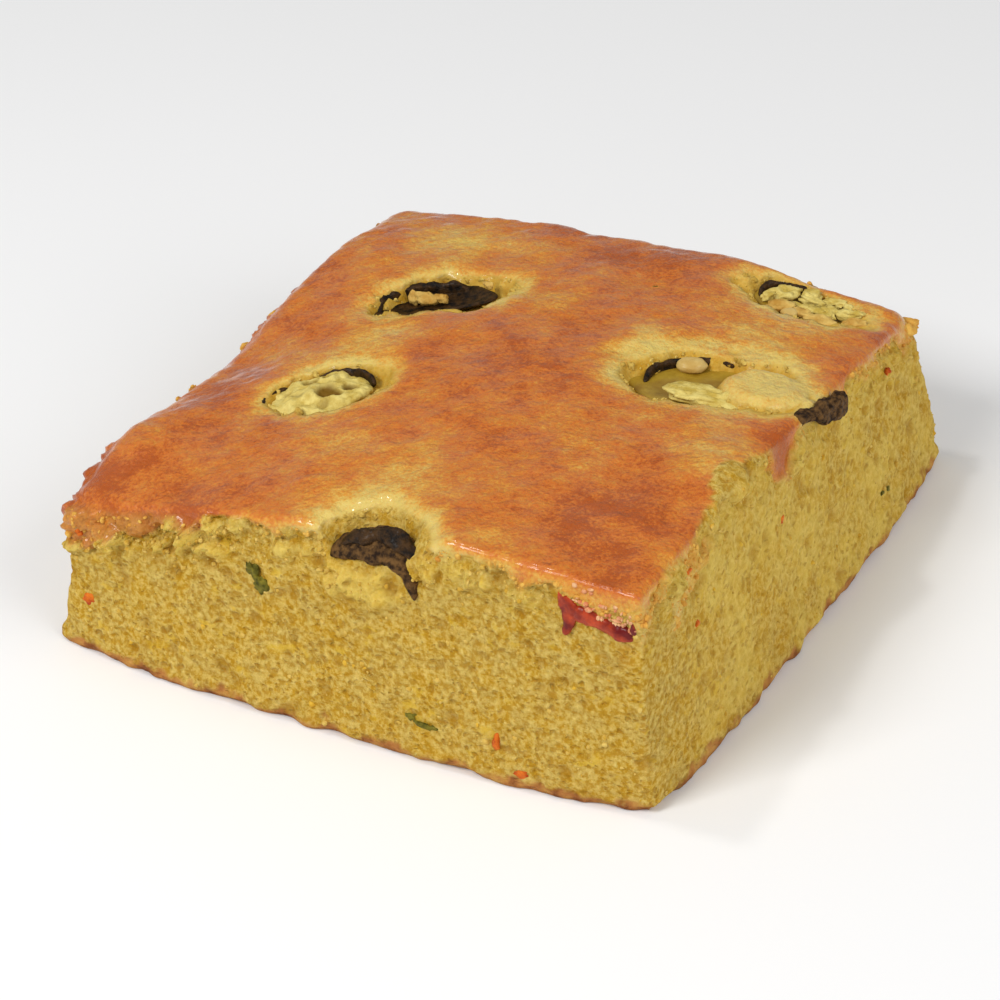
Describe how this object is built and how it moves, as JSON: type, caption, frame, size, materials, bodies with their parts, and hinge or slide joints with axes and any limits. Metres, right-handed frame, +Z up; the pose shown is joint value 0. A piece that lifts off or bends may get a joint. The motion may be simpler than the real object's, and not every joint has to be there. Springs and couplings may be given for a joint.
{
  "type": "cornbread square",
  "caption": "Square of cornbread with a domed browned top, cut crumb sides and slices of green and red pepper baked into it.",
  "frame": {"origin": "centre of the base, on the surface that the bread stands on", "axes": "+Z up; +X to the right along the front cut side; +Y to the back, away from the front cut side"},
  "size_m": [0.0886, 0.0896, 0.032],
  "materials": {
    "crumb": "open yellow crumb on the cut sides, under a glossy golden to orange-brown baked top",
    "green_pepper": "moist olive-green pepper flesh, dulled by baking",
    "dark_pepper": "moist black-brown baked pepper skin",
    "red_pepper": "moist red pepper"
  },
  "bodies": {
    "root": {"cornbread": "crumb", "pepper_slice_back_left": "green_pepper", "pepper_slice_left": "green_pepper", "pepper_slice_right": "green_pepper", "pepper_slice_back_right": "green_pepper", "pepper_piece_front": "dark_pepper", "red_pepper_strip": "red_pepper"}
  },
  "joints": []
}
